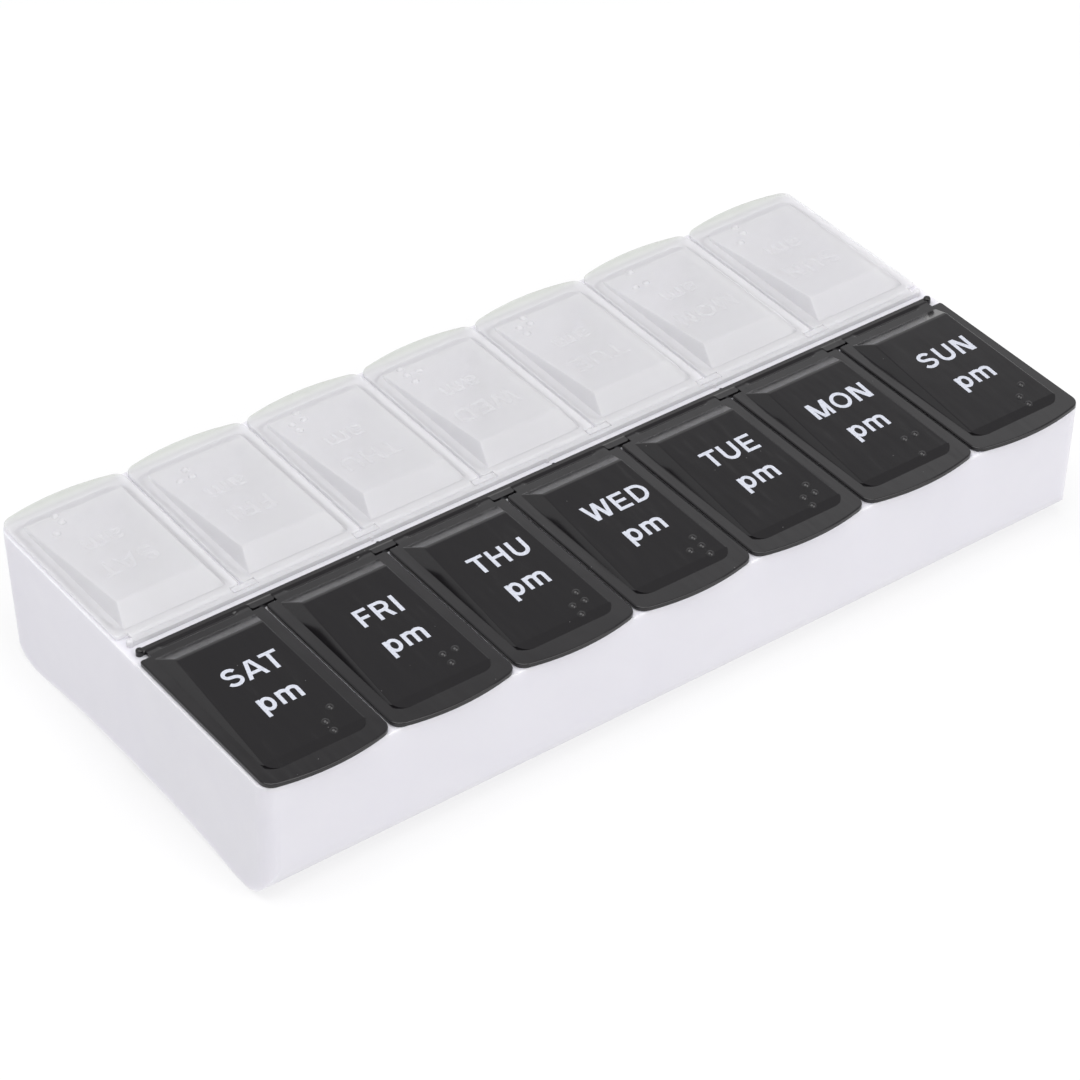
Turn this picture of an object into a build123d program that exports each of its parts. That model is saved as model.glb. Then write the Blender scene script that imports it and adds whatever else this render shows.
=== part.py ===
from build123d import *
import os

# A fourteen-compartment travel pill organizer: one open tray, and two moulded strips of
# lids that stand back to back on the tray's spine. Each strip is a rail pressed into the
# tray, seven lids, and a thin living-hinge web between the rail and each lid.
# Millimetres. +X runs along the rows, -Y is the pm side, +Z is up. The origin is on the
# resting plane, at the centre of the footprint.

# ---- Driving dimensions ----
DAYS = ["sat", "fri", "thu", "wed", "tue", "mon", "sun"]
PITCH = 25.4            # from one lid to the next, along X
RIM_TOP = 27.75         # height of the lids' flat rims
LID_THICK = 0.8         # moulded thickness of a lid
SEAT_GAP = 0.1          # daylight between the closed lids and the tray
TRAY_TOP = RIM_TOP - LID_THICK - SEAT_GAP

# Tray, outside
TRAY_HALF_LENGTH = 89.2
TRAY_HALF_WIDTH_TOP = 43.7
TRAY_HALF_WIDTH_BOTTOM = 42.0
TRAY_EDGE_RADIUS = 8.2      # the long lower edges
TRAY_CORNER_RADIUS = 3.0    # the four upright corners
ARCH_HALF_SPAN = 32.0       # the underside is arched up between two long lands
ARCH_HALF_FLAT = 5.0        # flat crown of the arch, along the spine
ARCH_RISE = 2.0
ARCH_BLEND_RADIUS = 12.0

# Tray, inside
OUTER_WALL = 1.4
END_WALL = 1.2
DIVIDER = 1.2
FLOOR = 1.5
SPINE_HALF_WIDTH = 4.4      # half the distance between the two rows of compartments
SPINE_CORE_HALF_WIDTH = 2.9
SPINE_ROOF = 3.6
SPINE_CORE_END_WALL = 1.6
POCKET_OUTER_RADIUS = 6.8
POCKET_INNER_RADIUS = 3.0
POCKET_SIDE_RADIUS = 2.0

# Hinge rails, as distances from the middle of the tray
RAIL_INNER = 1.0
RAIL_OUTER = 2.1
RAIL_HALF_LENGTH = 87.3
RAIL_CHAMFER = 0.25
TONGUE_WIDTH = 0.6
TONGUE_DEPTH = 1.5
TONGUE_HALF_LENGTH = 84.0
TONGUE_CLEARANCE = 0.02     # on each side of the tongue
GROOVE_END_GAP = 0.1        # beyond and below the tongue
TAB_REACH = 3.45            # the rail's tabs between the lids' back corners
TAB_SIDE_GAP = 0.12
TAB_RADIUS = 0.5
KNOB_RADIUS = 0.7
KNOB_RISE = 0.4
KNOB_OVERHANG = 0.2         # beyond the rail's inner edge
KNOB_END_INSET = 0.1        # from the rail's end to the knob's axis
GATE_RADIUS = 0.35          # small moulding vestiges on the rail's inner edge
GATE_STATIONS = [-1.5 * PITCH, 0.0, 1.5 * PITCH]

# Lids
LID_HALF_WIDTH = 12.45
LID_BACK = 3.1
LID_SHOULDER = 3.8          # the back edge steps out here, to clear the rail's tabs
LID_CORNER = 43.25
LID_BOW = 45.05             # the front edge bows out to here
LID_FRONT_RADIUS = 2.5
LID_BACK_RADIUS = 0.6
LID_BACK_CHAMFER = 0.3
LID_EDGE_RADIUS = 0.25      # upper edge of the rim, along the sides and the front

# Raised wedge on each lid
WEDGE_BACK = 4.9
WEDGE_CREST = 9.5
WEDGE_CREST_RISE = 2.3
WEDGE_TOE = 38.8            # from here the top runs out gently into the rim
WEDGE_TOE_RISE = 0.4
WEDGE_FRONT = 40.9
WEDGE_HALF_WIDTH = 10.2
WEDGE_CREST_HALF_WIDTH = 8.7
WEDGE_CREST_RADIUS = 1.6
WEDGE_EDGE_RADIUS = 0.35
WEDGE_TOE_CORNER_RADIUS = 3.0
WEDGE_ROOT = 0.5            # how far the wedge's stock reaches into the plate
CREST_INSET_SHARE = 0.5     # the hollow's crest and toe move in less than its foot
FLANK_INSET_SHARE = 0.7

# Skirt below each lid, which plugs into the compartment's mouth
SKIRT_BACK = 5.4
SKIRT_FRONT = 41.4
SKIRT_HALF_WIDTH = 11.5
SKIRT_WALL = 0.8
SKIRT_DEPTH = 2.0
SKIRT_RADIUS = 2.2

# Living-hinge webs
WEB_HALF_LENGTH = 10.2
WEB_TOP = RIM_TOP - 0.1
WEB_BOTTOM = RIM_TOP - 0.75
GROOVE_HALF_LENGTH = 8.0
GROOVE_DEPTH = 0.45

# Raised dots of the day's initial, near the free edge: (column, row) in the cell
DOT_SPACING = 2.5
DOT_CELL_X = 4.0
DOT_CELL_Y = 33.6
DOT_SPHERE_RADIUS = 0.9
DOT_RISE = 0.45
DOT_CELLS = {
    "sat": [(1, 0), (0, 1), (0, 2)],
    "fri": [(0, 0), (1, 0), (0, 1)],
    "thu": [(1, 0), (0, 1), (1, 1), (0, 2)],
    "wed": [(1, 0), (0, 1), (1, 1), (1, 2)],
    "tue": [(1, 0), (0, 1), (1, 1), (0, 2)],
    "mon": [(0, 0), (1, 0), (0, 2)],
    "sun": [(1, 0), (0, 1), (0, 2)],
}


# Construction
OVERCUT = 5.0               # cutters and stock run this far past the faces that they cross
NEAR = 0.1                  # edges and corners are picked by place to this tolerance


def lid_centre(index):
    return (index - (len(DAYS) - 1) / 2) * PITCH


def wall_half_width(z):
    """Half-width of the tray's outside at a height, from the draft of its long walls."""
    share = z / TRAY_TOP
    return TRAY_HALF_WIDTH_BOTTOM + share * (TRAY_HALF_WIDTH_TOP - TRAY_HALF_WIDTH_BOTTOM)


def end_edges(solid, half_length, below):
    """The lower and upright edges of a prism's two end faces."""
    found = []
    for face in solid.faces().filter_by(Axis.X):
        if abs(abs(face.center().X) - half_length) < NEAR:
            found += [e for e in face.edges() if e.center().Z < below]
    return found


# ---- Tray ----
def half_outline():
    """The +Y half of the tray's end outline: arched underside, round lower edge, drafted wall."""
    top, foot = TRAY_HALF_WIDTH_TOP, TRAY_HALF_WIDTH_BOTTOM
    crown = Line((0, ARCH_RISE), (ARCH_HALF_FLAT, ARCH_RISE))
    arch = TangentArc((ARCH_HALF_FLAT, ARCH_RISE), (ARCH_HALF_SPAN, 0), tangent=(1, 0))
    wall = Polyline((ARCH_HALF_SPAN, 0), (foot, 0), (top, TRAY_TOP), (0, TRAY_TOP), (0, ARCH_RISE))
    face = make_face([crown, arch, wall])
    long_edge = [v for v in face.vertices() if abs(v.X - foot) < NEAR]
    face = fillet(long_edge, TRAY_EDGE_RADIUS)
    arch_end = [v for v in face.vertices() if abs(v.X - ARCH_HALF_SPAN) < NEAR]
    return fillet(arch_end, ARCH_BLEND_RADIUS)


def tray_outside():
    """The end outline run along the tray's length, within a plan with round corners."""
    half = extrude(Plane.YZ * half_outline(), TRAY_HALF_LENGTH, both=True)
    body = half + mirror(half, Plane.XZ)
    plans = [
        Pos(0, 0, z) * RectangleRounded(2 * TRAY_HALF_LENGTH, 2 * wall_half_width(z), TRAY_CORNER_RADIUS)
        for z in (0, TRAY_TOP)
    ]
    return body & loft(plans, ruled=True)


def pocket(x_low, x_high, side):
    """One compartment: steep outer wall, scooped floor that follows the underside."""
    over = RIM_TOP + OVERCUT
    inner = SPINE_HALF_WIDTH
    floor_outer, floor_inner = FLOOR, FLOOR + ARCH_RISE
    outline = Polyline(
        (inner, floor_inner),
        (wall_half_width(floor_outer) - OUTER_WALL, floor_outer),
        (wall_half_width(over) - OUTER_WALL, over),
        (inner, over),
        close=True,
    )
    face = make_face(outline)
    low = face.vertices().sort_by(Axis.Y)
    face = fillet([low[0]], POCKET_OUTER_RADIUS)
    corner = [v for v in face.vertices() if abs(v.X - inner) < NEAR and v.Y < floor_inner + NEAR]
    face = fillet(corner, POCKET_INNER_RADIUS)
    half = (x_high - x_low) / 2
    solid = extrude(Plane.YZ * face, half, both=True)
    solid = fillet(end_edges(solid, half, over - NEAR), POCKET_SIDE_RADIUS)
    if side < 0:
        solid = mirror(solid, Plane.XZ)
    return Pos((x_low + x_high) / 2, 0, 0) * solid


def make_tray():
    walls = [lid_centre(i) + PITCH / 2 for i in range(len(DAYS) - 1)]
    lows = [-TRAY_HALF_LENGTH + END_WALL] + [x + DIVIDER / 2 for x in walls]
    highs = [x - DIVIDER / 2 for x in walls] + [TRAY_HALF_LENGTH - END_WALL]
    pockets = [pocket(low, high, side) for low, high in zip(lows, highs) for side in (-1, 1)]
    core_top = TRAY_TOP - SPINE_ROOF
    core_half_length = TRAY_HALF_LENGTH - SPINE_CORE_END_WALL
    core = Pos(0, 0, core_top - (core_top + OVERCUT) / 2) * Box(
        2 * core_half_length, 2 * SPINE_CORE_HALF_WIDTH, core_top + OVERCUT
    )
    groove = Box(
        2 * (TONGUE_HALF_LENGTH + GROOVE_END_GAP),
        TONGUE_WIDTH + 2 * TONGUE_CLEARANCE,
        2 * (TONGUE_DEPTH + GROOVE_END_GAP),
    )
    groove_y = (RAIL_INNER + RAIL_OUTER) / 2
    grooves = [Pos(0, side * groove_y, TRAY_TOP) * groove for side in (-1, 1)]
    return tray_outside() - pockets - core - grooves


# ---- One strip of lids, drawn on the +Y side; the pm strip is its mirror image ----
def make_rail():
    middle = (RAIL_INNER + RAIL_OUTER) / 2
    width = RAIL_OUTER - RAIL_INNER
    height = RIM_TOP - TRAY_TOP
    bar = Pos(0, middle, TRAY_TOP + height / 2) * Box(2 * RAIL_HALF_LENGTH, width, height)
    upper = bar.edges().filter_by(Axis.X).group_by(Axis.Z)[-1]
    bar = chamfer(upper.sort_by(Axis.Y)[-1], RAIL_CHAMFER)
    tongue = Pos(0, middle, TRAY_TOP - TONGUE_DEPTH / 2) * Box(
        2 * TONGUE_HALF_LENGTH, TONGUE_WIDTH, TONGUE_DEPTH
    )
    tab_half = PITCH / 2 - WEB_HALF_LENGTH - TAB_SIDE_GAP
    tab_y = (RAIL_OUTER + TAB_REACH) / 2
    tab = Box(2 * tab_half, TAB_REACH - RAIL_OUTER, height)
    tab = fillet(tab.edges().filter_by(Axis.Z).group_by(Axis.Y)[-1], TAB_RADIUS)
    rail = bar + tongue
    for index in range(len(DAYS) - 1):
        rail += Pos(lid_centre(index) + PITCH / 2, tab_y, TRAY_TOP + height / 2) * tab
    for end in (-1, 1):
        knob = Cylinder(KNOB_RADIUS, height + KNOB_RISE, align=(Align.CENTER, Align.CENTER, Align.MIN))
        knob = fillet(knob.edges().group_by(Axis.Z)[-1], KNOB_RISE)
        knob_x = end * (RAIL_HALF_LENGTH - KNOB_END_INSET)
        rail += Pos(knob_x, RAIL_INNER + KNOB_RADIUS - KNOB_OVERHANG, TRAY_TOP) * knob
    for x in GATE_STATIONS:
        gate = Cylinder(GATE_RADIUS, LID_THICK, align=(Align.CENTER, Align.CENTER, Align.MIN))
        rail += Pos(x, RAIL_INNER, TRAY_TOP) * gate
    return rail


def wedge(inset, drop, base):
    """The raised wedge, highest near the hinge and almost flush near the free edge."""
    profile = Polyline(
        (WEDGE_BACK + inset, base - drop),
        (WEDGE_BACK + inset, RIM_TOP - drop),
        (WEDGE_CREST + inset * CREST_INSET_SHARE, RIM_TOP + WEDGE_CREST_RISE - drop),
        (WEDGE_TOE - inset * CREST_INSET_SHARE, RIM_TOP + WEDGE_TOE_RISE - drop),
        (WEDGE_FRONT - inset, RIM_TOP - drop),
        (WEDGE_FRONT - inset, base - drop),
        close=True,
    )
    lengthwise = extrude(Plane.YZ * make_face(profile), WEDGE_HALF_WIDTH + OVERCUT, both=True)
    foot = WEDGE_HALF_WIDTH - inset
    crest = WEDGE_CREST_HALF_WIDTH - inset * FLANK_INSET_SHARE
    slope = (foot - crest) / WEDGE_CREST_RISE
    over = WEDGE_CREST_RISE + NEAR
    across = Polyline(
        (-foot, base - drop),
        (-foot, RIM_TOP - drop),
        (-foot + slope * over, RIM_TOP + over - drop),
        (foot - slope * over, RIM_TOP + over - drop),
        (foot, RIM_TOP - drop),
        (foot, base - drop),
        close=True,
    )
    crosswise = extrude(Plane.XZ * make_face(across), 2 * WEDGE_FRONT, both=True)
    front = WEDGE_FRONT - inset
    plan = Pos(0, front / 2) * Rectangle(2 * foot, front)
    toe_corners = plan.vertices().group_by(Axis.Y)[-1]
    plan = fillet(toe_corners, WEDGE_TOE_CORNER_RADIUS - inset)
    stock = Pos(0, 0, base - drop - OVERCUT) * extrude(plan, 4 * OVERCUT)
    return lengthwise & crosswise & stock


def soften_wedge(solid):
    """Rounds the crest broadly and the wedge's other upper edges lightly."""
    def raised(edge):
        return edge.center().Z > RIM_TOP + NEAR

    across = solid.edges().filter_by(Axis.X)
    crest = [e for e in across if abs(e.center().Y - WEDGE_CREST) < NEAR and raised(e)]
    solid = fillet(crest, WEDGE_CREST_RADIUS)
    half_length = (WEDGE_TOE - WEDGE_CREST) / 2
    flanks = [
        e
        for e in solid.edges()
        if raised(e) and e.length > half_length and abs(e.center().X) > WEDGE_CREST_HALF_WIDTH - NEAR
    ]
    return fillet(flanks, WEDGE_EDGE_RADIUS)


def dot_height(y):
    """Height of the wedge's sloping top at a distance from the middle of the tray."""
    share = (y - WEDGE_CREST) / (WEDGE_TOE - WEDGE_CREST)
    return RIM_TOP + WEDGE_CREST_RISE + share * (WEDGE_TOE_RISE - WEDGE_CREST_RISE)


def make_lid(day):
    corner, half = LID_CORNER, LID_HALF_WIDTH
    neck = WEB_HALF_LENGTH
    sides = Polyline(
        (half, corner),
        (half, LID_SHOULDER),
        (neck, LID_SHOULDER),
        (neck, LID_BACK),
        (-neck, LID_BACK),
        (-neck, LID_SHOULDER),
        (-half, LID_SHOULDER),
        (-half, corner),
    )
    bow = ThreePointArc((-half, corner), (0, LID_BOW), (half, corner))
    face = make_face([sides, bow])
    corners = face.vertices().group_by(Axis.Y)
    face = fillet(corners[-1], LID_FRONT_RADIUS)
    shoulders = [v for v in face.vertices() if v.Y < LID_SHOULDER + NEAR and abs(v.X) > half - NEAR]
    face = fillet(shoulders, LID_BACK_RADIUS)
    plate_bottom = RIM_TOP - LID_THICK
    plate = Pos(0, 0, plate_bottom) * extrude(face, LID_THICK)
    back_top = plate.edges().filter_by(Axis.X).group_by(Axis.Z)[-1].sort_by(Axis.Y)[0]
    plate = chamfer(back_top, LID_BACK_CHAMFER)
    rim = [e for e in plate.edges().group_by(Axis.Z)[-1] if e.center().Y > LID_SHOULDER + LID_BACK_RADIUS]
    plate = fillet(rim, LID_EDGE_RADIUS)

    length = SKIRT_FRONT - SKIRT_BACK
    middle = (SKIRT_FRONT + SKIRT_BACK) / 2
    ring = RectangleRounded(2 * SKIRT_HALF_WIDTH, length, SKIRT_RADIUS)
    ring -= RectangleRounded(
        2 * (SKIRT_HALF_WIDTH - SKIRT_WALL), length - 2 * SKIRT_WALL, SKIRT_RADIUS - SKIRT_WALL
    )
    skirt = Pos(0, middle, plate_bottom - SKIRT_DEPTH) * extrude(ring, SKIRT_DEPTH)

    lid = plate + soften_wedge(wedge(0, 0, RIM_TOP - WEDGE_ROOT)) + skirt
    lid -= wedge(LID_THICK, LID_THICK, plate_bottom)
    sink = DOT_SPHERE_RADIUS - DOT_RISE
    for column, row in DOT_CELLS[day]:
        # Each row reads from its own free edge, so the cell lies at -X on this side.
        x = -(DOT_CELL_X + column * DOT_SPACING)
        y = DOT_CELL_Y + row * DOT_SPACING
        lid += Pos(x, y, dot_height(y) - sink) * Sphere(DOT_SPHERE_RADIUS)
    return lid


def make_web():
    """The hinge web: a strip from rail to lid, thinned by a round-ended groove."""
    width = LID_BACK - RAIL_OUTER
    middle = (LID_BACK + RAIL_OUTER) / 2
    height = WEB_TOP - WEB_BOTTOM
    strip = Pos(0, middle, WEB_BOTTOM + height / 2) * Box(2 * WEB_HALF_LENGTH, width, height)
    cutter_radius = (width**2 / 4 + GROOVE_DEPTH**2) / (2 * GROOVE_DEPTH)
    cutter = Rot(0, 90, 0) * Cylinder(cutter_radius, 2 * GROOVE_HALF_LENGTH)
    return strip - Pos(0, middle, WEB_TOP - GROOVE_DEPTH + cutter_radius) * cutter


def place(shape, x, side):
    """Puts a shape drawn on the +Y side at a station, on either side of the spine."""
    if side < 0:
        shape = Rot(0, 0, 180) * shape
    return Pos(x, 0, 0) * shape


def main():
    os.makedirs("parts", exist_ok=True)
    export_step(make_tray(), "parts/tray.step")
    web = make_web()
    for strip, side in (("pm", -1), ("am", 1)):
        export_step(place(make_rail(), 0, side), f"parts/{strip}_hinge_rail.step")
        for index, day in enumerate(DAYS):
            x = lid_centre(index)
            export_step(place(make_lid(day), x, side), f"parts/{strip}_lid_{day}.step")
            export_step(place(web, x, side), f"parts/{strip}_web_{day}.step")


main()
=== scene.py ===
import math

import bmesh
import bpy
from mathutils import Matrix, Vector
from mathutils.geometry import delaunay_2d_cdt


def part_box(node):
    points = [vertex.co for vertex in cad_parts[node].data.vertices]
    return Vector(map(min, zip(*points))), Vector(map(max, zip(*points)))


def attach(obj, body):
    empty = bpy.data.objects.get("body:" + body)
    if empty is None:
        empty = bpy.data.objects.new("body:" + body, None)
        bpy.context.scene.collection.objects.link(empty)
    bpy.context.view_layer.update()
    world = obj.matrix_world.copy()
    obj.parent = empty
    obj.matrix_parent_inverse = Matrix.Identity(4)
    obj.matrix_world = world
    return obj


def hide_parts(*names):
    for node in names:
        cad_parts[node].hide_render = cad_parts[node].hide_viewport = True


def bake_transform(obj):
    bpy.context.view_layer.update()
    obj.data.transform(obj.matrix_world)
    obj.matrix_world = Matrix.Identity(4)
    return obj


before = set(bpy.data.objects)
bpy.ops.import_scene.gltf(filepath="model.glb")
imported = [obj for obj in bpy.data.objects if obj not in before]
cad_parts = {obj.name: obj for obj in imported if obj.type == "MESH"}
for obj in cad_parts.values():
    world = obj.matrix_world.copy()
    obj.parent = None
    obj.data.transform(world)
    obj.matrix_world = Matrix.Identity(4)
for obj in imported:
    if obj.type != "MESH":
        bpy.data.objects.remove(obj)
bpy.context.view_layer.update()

# Lengths below are millimetres, turned into Blender's metres by MM.
MM = 0.001
DAYS = ["sat", "fri", "thu", "wed", "tue", "mon", "sun"]
STRIPS = {"pm": -1, "am": 1}        # which side of the spine each strip lies on, along Y


def body_of(strip, day):
    return f"{strip}_{day}"


def lid_of(strip, day):
    return f"{strip}_lid_{day}"


def web_of(strip, day):
    return f"{strip}_web_{day}"


# ---- Places taken from the frame ----
WEB_SINK = 0.1 * MM                     # the webs stop this far below the lids' flat rims
RIM_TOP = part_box(web_of("am", "wed"))[1].z + WEB_SINK
CREST_Y, CREST_RISE = 9.5 * MM, 2.3 * MM        # top of each lid's wedge, at its hinge end
TOE_Y, TOE_RISE = 38.8 * MM, 0.4 * MM           # and at its free end


def lid_centre_x(strip, day):
    low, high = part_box(lid_of(strip, day))
    return (low.x + high.x) / 2


def wedge_height(distance):
    """Height of a wedge's sloping top at a distance from the middle of the tray."""
    share = (distance - CREST_Y) / (TOE_Y - CREST_Y)
    return RIM_TOP + CREST_RISE + share * (TOE_RISE - CREST_RISE)


# ---- Camera ----
CAMERA_AZIMUTH = math.radians(-36.52)
CAMERA_ELEVATION = math.radians(36.94)
CAMERA_DISTANCE = 736.5 * MM
CAMERA_AIM = Vector((0.0, 0.0, 27.5 * MM))      # the middle of the lids' rims
CAMERA_OFFSET = (10.56 * MM, 6.2 * MM)          # right and up of the aim, in the view's plane
CAMERA_LENS = 136.25
CAMERA_SHIFT = (-0.064, -0.1043)
CAMERA_CLIP = (0.01, 20.0)


def add_camera():
    ca, sa = math.cos(CAMERA_AZIMUTH), math.sin(CAMERA_AZIMUTH)
    ce, se = math.cos(CAMERA_ELEVATION), math.sin(CAMERA_ELEVATION)
    back = Vector((sa * ce, -ca * ce, se))
    right = Vector((ca, sa, 0.0))
    up = back.cross(right)
    place = CAMERA_AIM + back * CAMERA_DISTANCE + right * CAMERA_OFFSET[0] + up * CAMERA_OFFSET[1]
    data = bpy.data.cameras.new("camera")
    data.lens = CAMERA_LENS
    data.shift_x, data.shift_y = CAMERA_SHIFT
    data.clip_start, data.clip_end = CAMERA_CLIP
    camera = bpy.data.objects.new("camera", data)
    turn = Matrix((right, up, back)).transposed()
    camera.matrix_world = Matrix.Translation(place) @ turn.to_4x4()
    bpy.context.scene.collection.objects.link(camera)
    bpy.context.scene.camera = camera


# ---- Light and floor ----
# Brightness of the studio by the sine of the elevation: white walls, dimmer overhead. The
# lids' flat rims mirror the brightest part, and the wedges' tops mirror the dimmer part.
STUDIO_STOPS = [(0.0, 0.76), (0.45, 0.76), (0.625, 1.12), (0.655, 0.4), (0.8, 0.4)]
STUDIO_BLUE = 1.01

# Each softbox: place and size in metres, power in watts, and colour. Both aim at the origin.
SOFTBOXES = {
    "key_softbox": ((0.35, -0.9, 0.85), (0.9, 0.7), 5.6, (1.0, 0.99, 0.98)),
    "top_softbox": ((-0.25, -0.05, 1.2), (1.1, 1.1), 10.4, (1.0, 1.0, 1.0)),
}
FLOOR_SIZE = 6.0


def add_world():
    """The studio's walls and ceiling."""
    world = bpy.data.worlds.new("studio")
    bpy.context.scene.world = world
    world.use_nodes = True
    nt = world.node_tree
    nt.nodes.clear()
    place = nt.nodes.new("ShaderNodeTexCoord")
    axes = nt.nodes.new("ShaderNodeSeparateXYZ")
    ramp = nt.nodes.new("ShaderNodeValToRGB")
    shade = nt.nodes.new("ShaderNodeBackground")
    out = nt.nodes.new("ShaderNodeOutputWorld")
    fill_ramp(ramp, [(at, (value, value, value * STUDIO_BLUE)) for at, value in STUDIO_STOPS])
    nt.links.new(place.outputs["Generated"], axes.inputs[0])
    nt.links.new(axes.outputs["Z"], ramp.inputs[0])
    nt.links.new(ramp.outputs["Color"], shade.inputs["Color"])
    shade.inputs["Strength"].default_value = 1.0
    nt.links.new(shade.outputs[0], out.inputs["Surface"])


def add_softbox(name, place, size, power, colour):
    data = bpy.data.lights.new(name, "AREA")
    data.shape = "RECTANGLE"
    data.size, data.size_y = size
    data.energy = power
    data.color = colour
    light = bpy.data.objects.new(name, data)
    light.location = place
    light.rotation_mode = "QUATERNION"
    light.rotation_quaternion = (-Vector(place)).to_track_quat("-Z", "Y")
    bpy.context.scene.collection.objects.link(light)


def add_floor():
    bpy.ops.mesh.primitive_plane_add(size=FLOOR_SIZE, location=(0, 0, 0))
    floor = bpy.context.object
    floor.name = "floor"
    floor.data.materials.append(make_floor_material())


# ---- Materials ----
AM_RIM_START, AM_RIM_FULL = 42.0 * MM, 43.6 * MM       # the am lids' overhang beyond the tray
# Painted shade: the grey-green given to the am lids' free edge where it overhangs the tray.
AM_OVERHANG_SHADE_COLOUR = (0.58, 0.60, 0.57)


def fill_ramp(node, stops):
    """Sets a colour ramp's stops, each a position with a grey level or a colour."""
    elements = node.color_ramp.elements
    while len(elements) < len(stops):
        elements.new(0.5)
    for element, (at, value) in zip(elements, stops):
        element.position = at
        element.color = (*value, 1.0) if isinstance(value, tuple) else (value, value, value, 1.0)


class Nodes:
    """A material's node tree, with its Principled shader and short ways to add nodes."""

    def __init__(self, name):
        self.material = bpy.data.materials.new(name)
        self.material.use_nodes = True
        self.tree = self.material.node_tree
        self.shader = self.tree.nodes["Principled BSDF"]
        self.place = self.tree.nodes.new("ShaderNodeTexCoord")

    def link(self, output, socket):
        self.tree.links.new(output, socket)

    def set(self, **values):
        for name, value in values.items():
            self.shader.inputs[name.replace("_", " ")].default_value = value

    def noise(self, scale, detail=2.0, stretch=(1, 1, 1), distortion=0.0):
        node = self.tree.nodes.new("ShaderNodeTexNoise")
        node.inputs["Scale"].default_value = scale
        node.inputs["Detail"].default_value = detail
        node.inputs["Distortion"].default_value = distortion
        mapping = self.tree.nodes.new("ShaderNodeMapping")
        mapping.inputs["Scale"].default_value = stretch
        self.link(self.place.outputs["Object"], mapping.inputs["Vector"])
        self.link(mapping.outputs[0], node.inputs["Vector"])
        return node.outputs["Fac"]

    def specks(self, scale, radius):
        """1 in small round spots scattered in space, 0 elsewhere."""
        node = self.tree.nodes.new("ShaderNodeTexVoronoi")
        node.inputs["Scale"].default_value = scale
        self.link(self.place.outputs["Object"], node.inputs["Vector"])
        return self.ramp(node.outputs["Distance"], [(radius * 0.7, 1.0), (radius, 0.0)])

    def along_y(self, start, full):
        """0 up to one distance along the object's Y axis, rising to 1 at another."""
        axes = self.tree.nodes.new("ShaderNodeSeparateXYZ")
        self.link(self.place.outputs["Object"], axes.inputs[0])
        node = self.tree.nodes.new("ShaderNodeMapRange")
        node.inputs["From Min"].default_value = start
        node.inputs["From Max"].default_value = full
        self.link(axes.outputs["Y"], node.inputs["Value"])
        return node.outputs["Result"]

    def mix(self, share, first, second):
        """One colour output, turning into a fixed colour as share goes from 0 to 1."""
        node = self.tree.nodes.new("ShaderNodeMix")
        node.data_type = "RGBA"
        self.link(share, node.inputs["Factor"])
        self.link(first, node.inputs["A"])
        node.inputs["B"].default_value = (*second, 1.0)
        return node.outputs["Result"]

    def ramp(self, source, stops):
        """A colour that follows a value through its stops."""
        node = self.tree.nodes.new("ShaderNodeValToRGB")
        fill_ramp(node, stops)
        self.link(source, node.inputs[0])
        return node.outputs["Color"]

    def sum(self, first, second, share):
        """One value plus a share of another."""
        node = self.tree.nodes.new("ShaderNodeMath")
        node.operation = "MULTIPLY_ADD"
        self.link(second, node.inputs[0])
        node.inputs[1].default_value = share
        self.link(first, node.inputs[2])
        return node.outputs[0]

    def bump(self, height, distance, strength=1.0):
        node = self.tree.nodes.new("ShaderNodeBump")
        node.inputs["Strength"].default_value = strength
        node.inputs["Distance"].default_value = distance
        self.link(height, node.inputs["Height"])
        self.link(node.outputs[0], self.shader.inputs["Normal"])


def make_floor_material():
    n = Nodes("floor_paper")
    n.set(Roughness=0.9, Emission_Color=(1, 1, 1, 1), Emission_Strength=0.62)
    n.link(n.ramp(n.noise(9.0), [(0.3, 0.29), (0.7, 0.31)]), n.shader.inputs["Base Color"])
    return n.material


def make_tray_material():
    """White translucent polypropylene with a satin mould finish."""
    n = Nodes("tray_plastic")
    cloud = n.noise(55.0, 3.0, distortion=0.6)
    tint = n.ramp(cloud, [(0.3, (0.69, 0.68, 0.73)), (0.7, (0.71, 0.70, 0.745))])
    n.link(tint, n.shader.inputs["Base Color"])
    n.link(n.ramp(n.noise(260.0, 4.0), [(0.3, 0.40), (0.7, 0.50)]), n.shader.inputs["Roughness"])
    n.set(Subsurface_Weight=1.0, Subsurface_Radius=(1.0, 0.98, 0.97), Subsurface_Scale=2.0 * MM)
    grain = n.sum(n.noise(5200.0, 2.0), n.noise(140.0, 2.0), 2.0)
    n.bump(grain, 0.012 * MM, 0.7)
    return n.material


def make_am_material():
    """Natural polypropylene: the compartments show faintly through. Its free edge beyond the tray is
    made more opaque and painted greyer, as painted shade where no tray lies behind it.
    """
    n = Nodes("am_plastic")
    overhang_mask = n.along_y(AM_RIM_START, AM_RIM_FULL)
    cloud = n.noise(80.0, 3.0, distortion=0.5)
    tint = n.ramp(cloud, [(0.3, (0.88, 0.875, 0.895)), (0.7, (0.89, 0.885, 0.905))])
    # Painted shade: the colour turns grey-green over the overhang beyond the tray.
    n.link(n.mix(overhang_mask, tint, AM_OVERHANG_SHADE_COLOUR), n.shader.inputs["Base Color"])
    n.link(n.ramp(overhang_mask, [(0.0, 0.42), (1.0, 0.72)]), n.shader.inputs["Alpha"])
    n.link(n.ramp(n.noise(120.0, 2.0), [(0.3, 0.30), (0.7, 0.34)]), n.shader.inputs["Roughness"])
    n.set(Subsurface_Weight=0.5, Subsurface_Radius=(1.0, 0.99, 0.98), Subsurface_Scale=3.0 * MM)
    n.bump(n.noise(170.0, 2.0), 0.01 * MM, 0.3)
    return n.material


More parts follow.
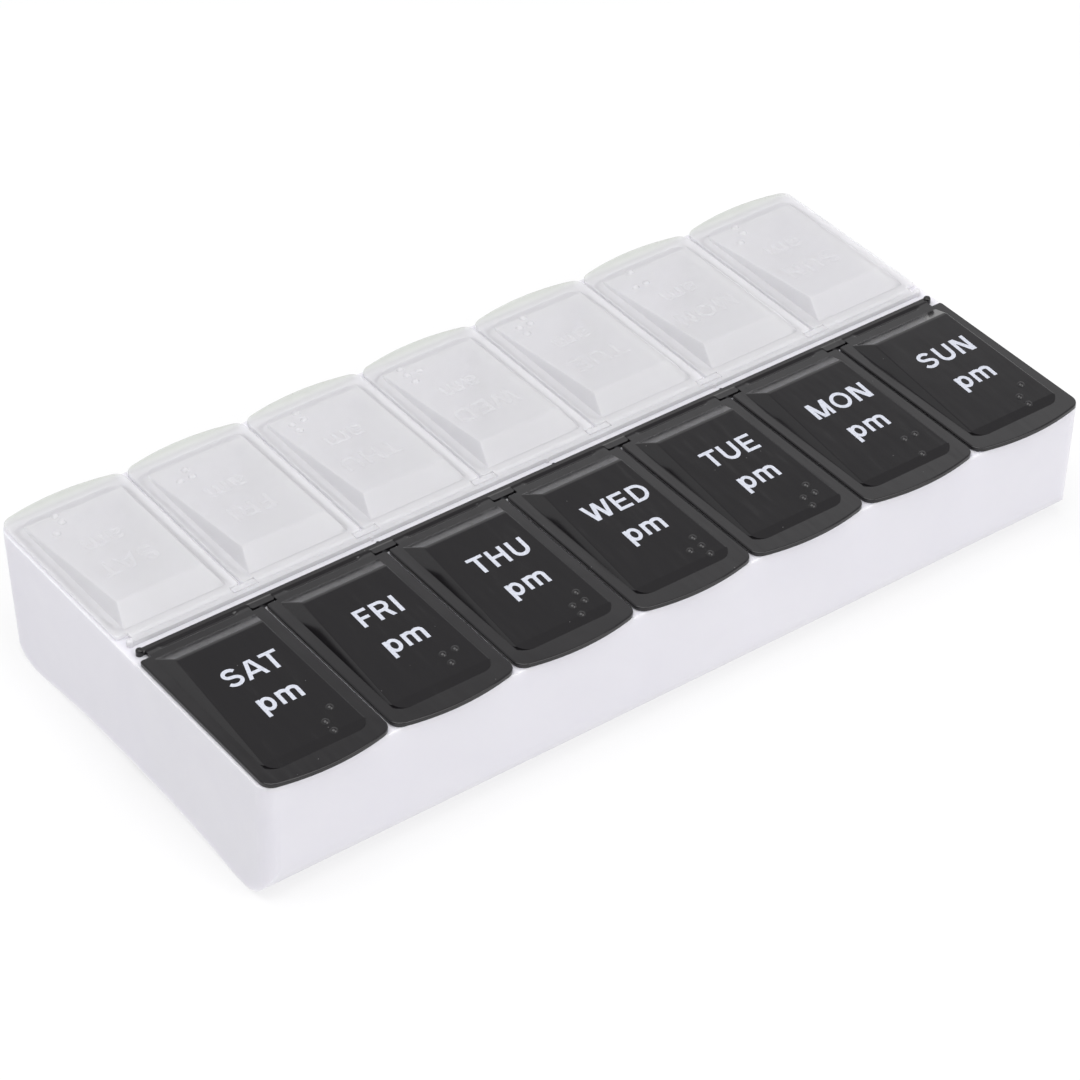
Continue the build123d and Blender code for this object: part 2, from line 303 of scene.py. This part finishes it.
def make_pm_material():
    """Black polypropylene, polished and slightly wavy, with faint scuffs and dust."""
    n = Nodes("pm_plastic")
    dust = n.specks(260.0, 0.032)
    tint = n.ramp(dust, [(0.0, (0.0085, 0.0076, 0.0087)), (1.0, (0.09, 0.09, 0.09))])
    n.link(tint, n.shader.inputs["Base Color"])
    scuffs = n.noise(900.0, 5.0, stretch=(1.0, 0.12, 1.0))
    n.link(n.ramp(scuffs, [(0.35, 0.12), (0.62, 0.16), (0.75, 0.25)]), n.shader.inputs["Roughness"])
    wave = n.sum(n.noise(95.0, 1.5), n.noise(900.0, 3.0, stretch=(1.0, 0.2, 1.0)), 0.03)
    n.bump(wave, 0.10 * MM, 0.35)
    return n.material


def make_ink_material(name, light, dark, opacity):
    """Pad-printed ink: slightly uneven cover, silky."""
    n = Nodes(name)
    n.set(Alpha=opacity)
    cover = n.noise(2600.0, 3.0)
    n.link(n.ramp(cover, [(0.3, dark), (0.55, light)]), n.shader.inputs["Base Color"])
    n.link(n.ramp(n.noise(1500.0), [(0.3, 0.42), (0.7, 0.55)]), n.shader.inputs["Roughness"])
    n.bump(cover, 0.01 * MM, 0.5)
    return n.material


def paint(piece, material):
    piece.data.materials.clear()
    piece.data.materials.append(material)


# ---- Living-hinge webs ----
WEB_STATIONS = 64               # along the hinge
WEB_RINGS = 24                  # across it, where it bends
WEB_SHARP_ANGLE = math.radians(50)
RAIL_CHAMFER = 0.25 * MM        # the web fills the chamfers of the rail and of the lid
LID_CHAMFER = 0.3 * MM
WEB_SKIN = 0.02 * MM            # least thickness, at the web's feathered edges
WEB_DIP = 0.05 * MM             # dip of the web's top along its whole length
GROOVE_HALF_LENGTH = 8.0 * MM
GROOVE_DIP = 0.2 * MM          # further dip where the web is thinned
GROOVE_END = 1.0 * MM           # the groove runs out over this length


def web_top(x, t):
    """How far the web's top lies below the rims, at x from its middle and t from 0 to 1 across."""
    share = min(1.0, max(0.0, (GROOVE_HALF_LENGTH - abs(x)) / GROOVE_END))
    depth = WEB_DIP + GROOVE_DIP * math.sin(share * math.pi / 2)
    return depth * math.sin(t * math.pi) ** 2


def make_web(strip, day, material):
    """The thin web from rail to lid, finely divided along and across."""
    low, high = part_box(web_of(strip, day))
    side = STRIPS[strip]
    centre = (low.x + high.x) / 2
    near, far = sorted((abs(low.y), abs(high.y)))
    first, last = near - RAIL_CHAMFER, far + LID_CHAMFER
    bm = bmesh.new()
    upper, lower = [], []
    for i in range(WEB_STATIONS + 1):
        x = low.x + (high.x - low.x) * i / WEB_STATIONS
        upper.append([])
        lower.append([])
        for k in range(WEB_RINGS + 1):
            t = k / WEB_RINGS
            reach = first + (last - first) * t
            outside = max(near - reach, reach - far, 0.0)
            foot = low.z if outside == 0 else RIM_TOP - max(RAIL_CHAMFER, LID_CHAMFER) + outside
            top = RIM_TOP - web_top(x - centre, t)
            upper[-1].append(bm.verts.new((x, side * reach, top)))
            lower[-1].append(bm.verts.new((x, side * reach, min(foot, top - WEB_SKIN))))
    for i in range(WEB_STATIONS):
        for k in range(WEB_RINGS):
            bm.faces.new((upper[i][k], upper[i + 1][k], upper[i + 1][k + 1], upper[i][k + 1]))
            bm.faces.new((lower[i][k], lower[i][k + 1], lower[i + 1][k + 1], lower[i + 1][k]))
        for k in (0, WEB_RINGS):
            bm.faces.new((upper[i][k], lower[i][k], lower[i + 1][k], upper[i + 1][k]))
    for i in (0, WEB_STATIONS):
        for k in range(WEB_RINGS):
            bm.faces.new((upper[i][k], upper[i][k + 1], lower[i][k + 1], lower[i][k]))
    bmesh.ops.recalc_face_normals(bm, faces=bm.faces)
    mesh = bpy.data.meshes.new(f"{strip}_hinge_{day}")
    bm.to_mesh(mesh)
    bm.free()
    for face in mesh.polygons:
        face.use_smooth = True
    mesh.set_sharp_from_angle(angle=WEB_SHARP_ANGLE)
    piece = bpy.data.objects.new(f"{strip}_hinge_{day}", mesh)
    bpy.context.scene.collection.objects.link(piece)
    paint(piece, material)
    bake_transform(piece)
    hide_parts(web_of(strip, day))
    return piece


# ---- Printed lettering ----
CAP_HEIGHT = 4.5 * MM
LETTER_SQUEEZE = 0.93           # width of the lettering, against its drawn width
LETTER_GAP = 0.03
LETTER_OFFSET_X = 0.9 * MM      # the print sits a little to the right of the lid's middle
NAME_BASELINE = 20.9 * MM       # distances from the spine
MARK_BASELINE = 28.9 * MM
INK_THICK = 0.03 * MM
INK_SINK = 0.01 * MM

# Each strip's ink: its two tones and how opaque it is. The am lids' ink hardly shows.
INKS = {
    "pm": ((0.56, 0.58, 0.65), (0.46, 0.48, 0.55), 1.0),
    "am": ((0.84, 0.84, 0.86), (0.80, 0.80, 0.82), 0.1),
}

# Letters are drawn as strokes in units of the capitals' height, from a left edge at x = 0.
STEM = 0.18
ARM = 0.16
ARM_TOP = 1 - ARM / 2
ARM_FOOT = ARM / 2
X_HEIGHT = 0.74
DESCENT = -0.28


def upright(x, low=0.0, high=1.0):
    return [[(x - STEM / 2, low), (x + STEM / 2, low), (x + STEM / 2, high), (x - STEM / 2, high)]]


def level(y, left, right):
    return [[(left, y - ARM / 2), (right, y - ARM / 2), (right, y + ARM / 2), (left, y + ARM / 2)]]


def slant(foot, head, low=0.0, high=1.0, width=STEM):
    """A sloping stroke with level ends."""
    across = width / 2 * math.hypot(head - foot, high - low) / (high - low)
    return [[(foot - across, low), (foot + across, low), (head + across, high), (head - across, high)]]


def arc(x, y, radius_x, radius_y, start, stop, steps=24):
    """Points on an ellipse, from one angle in degrees to another."""
    angles = [math.radians(start + (stop - start) * i / steps) for i in range(steps + 1)]
    return [(x + radius_x * math.cos(a), y + radius_y * math.sin(a)) for a in angles]


def ribbon(path, width=STEM - 0.01):
    """A stroke of one width along a path, as one quadrilateral for each of its steps."""
    sides = []
    for i, (x, y) in enumerate(path):
        before, after = path[max(i - 1, 0)], path[min(i + 1, len(path) - 1)]
        dx, dy = after[0] - before[0], after[1] - before[1]
        scale = width / 2 / math.hypot(dx, dy)
        sides.append(((x - dy * scale, y + dx * scale), (x + dy * scale, y - dx * scale)))
    return [[a[0], a[1], b[1], b[0]] for a, b in zip(sides, sides[1:])]


# Each letter: its advance, and its strokes.
GLYPHS = {
    "S": (
        0.88,
        ribbon(arc(0.41, 0.72, 0.27, 0.20, 22, 240) + arc(0.42, 0.30, 0.31, 0.22, 60, -158))
    ),
    "A": (0.96, slant(0.10, 0.43) + slant(0.88, 0.55) + level(0.30, 0.2, 0.78)),
    "T": (0.82, level(ARM_TOP, 0.02, 0.80) + upright(0.41)),
    "F": (0.78, upright(0.19) + level(ARM_TOP, 0.1, 0.72) + level(0.50, 0.1, 0.66)),
    "R": (
        0.96,
        upright(0.19)
        + level(ARM_TOP, 0.1, 0.54)
        + level(0.47, 0.1, 0.54)
        + ribbon(arc(0.53, (ARM_TOP + 0.47) / 2, 0.24, (ARM_TOP - 0.47) / 2, 90, -90))
        + slant(0.78, 0.60, 0.0, 0.44)
    ),
    "I": (0.38, upright(0.19)),
    "H": (1.0, upright(0.19) + upright(0.81) + level(0.53, 0.19, 0.81)),
    "U": (
        1.0,
        upright(0.19, 0.36)
        + upright(0.81, 0.36)
        + ribbon(arc(0.5, 0.37, 0.31, 0.295, 180, 360), STEM)
    ),
    "W": (1.30, slant(0.35, 0.10) + slant(0.38, 0.65) + slant(0.92, 0.65) + slant(0.95, 1.20)),
    "E": (
        0.90,
        upright(0.19)
        + level(ARM_TOP, 0.1, 0.80)
        + level(0.51, 0.1, 0.75)
        + level(ARM_FOOT, 0.1, 0.82)
    ),
    "D": (
        0.98,
        upright(0.19)
        + level(ARM_TOP, 0.1, 0.46)
        + level(ARM_FOOT, 0.1, 0.46)
        + ribbon(arc(0.45, 0.5, 0.38, ARM_TOP - 0.5, 90, -90))
    ),
    "M": (1.16, upright(0.19) + upright(0.97) + slant(0.53, 0.22) + slant(0.63, 0.94)),
    "O": (1.06, ribbon(arc(0.53, 0.5, 0.385, 0.425, 0, 360, 40))),
    "N": (1.0, upright(0.19) + upright(0.81) + slant(0.76, 0.24, width=STEM + 0.02)),
    "p": (
        0.84,
        upright(0.17, DESCENT, X_HEIGHT - 0.01)
        + ribbon(arc(0.45, 0.365, 0.235, 0.30, 0, 360, 36))
    ),
    "m": (
        1.22,
        upright(0.17, 0.0, X_HEIGHT - 0.01)
        + upright(0.60, 0.0, 0.52)
        + upright(1.03, 0.0, 0.52)
        + ribbon(arc(0.385, 0.50, 0.215, 0.165, 180, 0), STEM)
        + ribbon(arc(0.815, 0.50, 0.215, 0.165, 180, 0), STEM)
    ),
    "a": (
        0.76,
        upright(0.60, 0.0, 0.54)
        + ribbon(arc(0.37, 0.52, 0.23, 0.145, 165, 0))
        + ribbon(arc(0.34, 0.20, 0.21, 0.14, 0, 360, 32))
    ),
}


def set_text(text):
    """The strokes of a word, centred on x = 0."""
    strokes, x = [], 0.0
    for letter in text:
        advance, parts = GLYPHS[letter]
        strokes += [[(x + px, py) for px, py in part] for part in parts]
        x += advance + LETTER_GAP
    spots = [px for part in strokes for px, _ in part]
    middle = (min(spots) + max(spots)) / 2
    return [[(px - middle, py) for px, py in part] for part in strokes]


def merge_strokes(strokes):
    """Joins overlapping strokes into one flat outline, and returns its points and triangles."""
    points, faces = [], []
    for part in strokes:
        faces.append(list(range(len(points), len(points) + len(part))))
        points += [Vector(p) for p in part]
    found, _, triangles, _, _, owners = delaunay_2d_cdt(points, [], faces, 1, 1e-5)
    return found, [t for t, owned in zip(triangles, owners) if owned]


def make_letters(name, text, strip, day, baseline, material):
    """Printed letters lying on a wedge's sloping top, upright as seen from the lid's free edge."""
    side = STRIPS[strip]
    slope = math.atan2(CREST_RISE - TOE_RISE, TOE_Y - CREST_Y)
    along = Vector((-side, 0, 0))
    towards_hinge = Vector((0, -side * math.cos(slope), math.sin(slope)))
    normal = along.cross(towards_hinge)
    x = lid_centre_x(strip, day) - side * LETTER_OFFSET_X
    start = Vector((x, side * baseline, wedge_height(baseline)))
    points, triangles = merge_strokes(set_text(text))
    bm = bmesh.new()
    lower = []
    for p in points:
        place = start + along * p.x * CAP_HEIGHT * LETTER_SQUEEZE + towards_hinge * p.y * CAP_HEIGHT
        lower.append(bm.verts.new(place - normal * INK_SINK))
    for t in triangles:
        bm.faces.new([lower[i] for i in t])
    bmesh.ops.dissolve_limit(bm, angle_limit=math.radians(1), verts=bm.verts, edges=bm.edges)
    raised = bmesh.ops.extrude_face_region(bm, geom=bm.faces[:])
    tops = [v for v in raised["geom"] if isinstance(v, bmesh.types.BMVert)]
    bmesh.ops.translate(bm, verts=tops, vec=normal * INK_THICK)
    bmesh.ops.recalc_face_normals(bm, faces=bm.faces)
    mesh = bpy.data.meshes.new(name)
    bm.to_mesh(mesh)
    bm.free()
    piece = bpy.data.objects.new(name, mesh)
    bpy.context.scene.collection.objects.link(piece)
    paint(piece, material)
    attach(piece, body_of(strip, day))
    return piece


def main():
    add_camera()
    add_world()
    for name, settings in SOFTBOXES.items():
        add_softbox(name, *settings)
    add_floor()

    tray_plastic = make_tray_material()
    strip_plastic = {"pm": make_pm_material(), "am": make_am_material()}
    inks = {strip: make_ink_material(f"{strip}_ink", *tones) for strip, tones in INKS.items()}
    paint(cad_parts["tray"], tray_plastic)
    for strip in STRIPS:
        paint(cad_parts[f"{strip}_hinge_rail"], strip_plastic[strip])
        for day in DAYS:
            paint(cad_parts[lid_of(strip, day)], strip_plastic[strip])
            make_web(strip, day, strip_plastic[strip])
            make_letters(f"{strip}_name_{day}", day.upper(), strip, day, NAME_BASELINE, inks[strip])
            make_letters(f"{strip}_mark_{day}", strip, strip, day, MARK_BASELINE, inks[strip])
    bpy.context.scene.view_settings.view_transform = "Standard"


main()
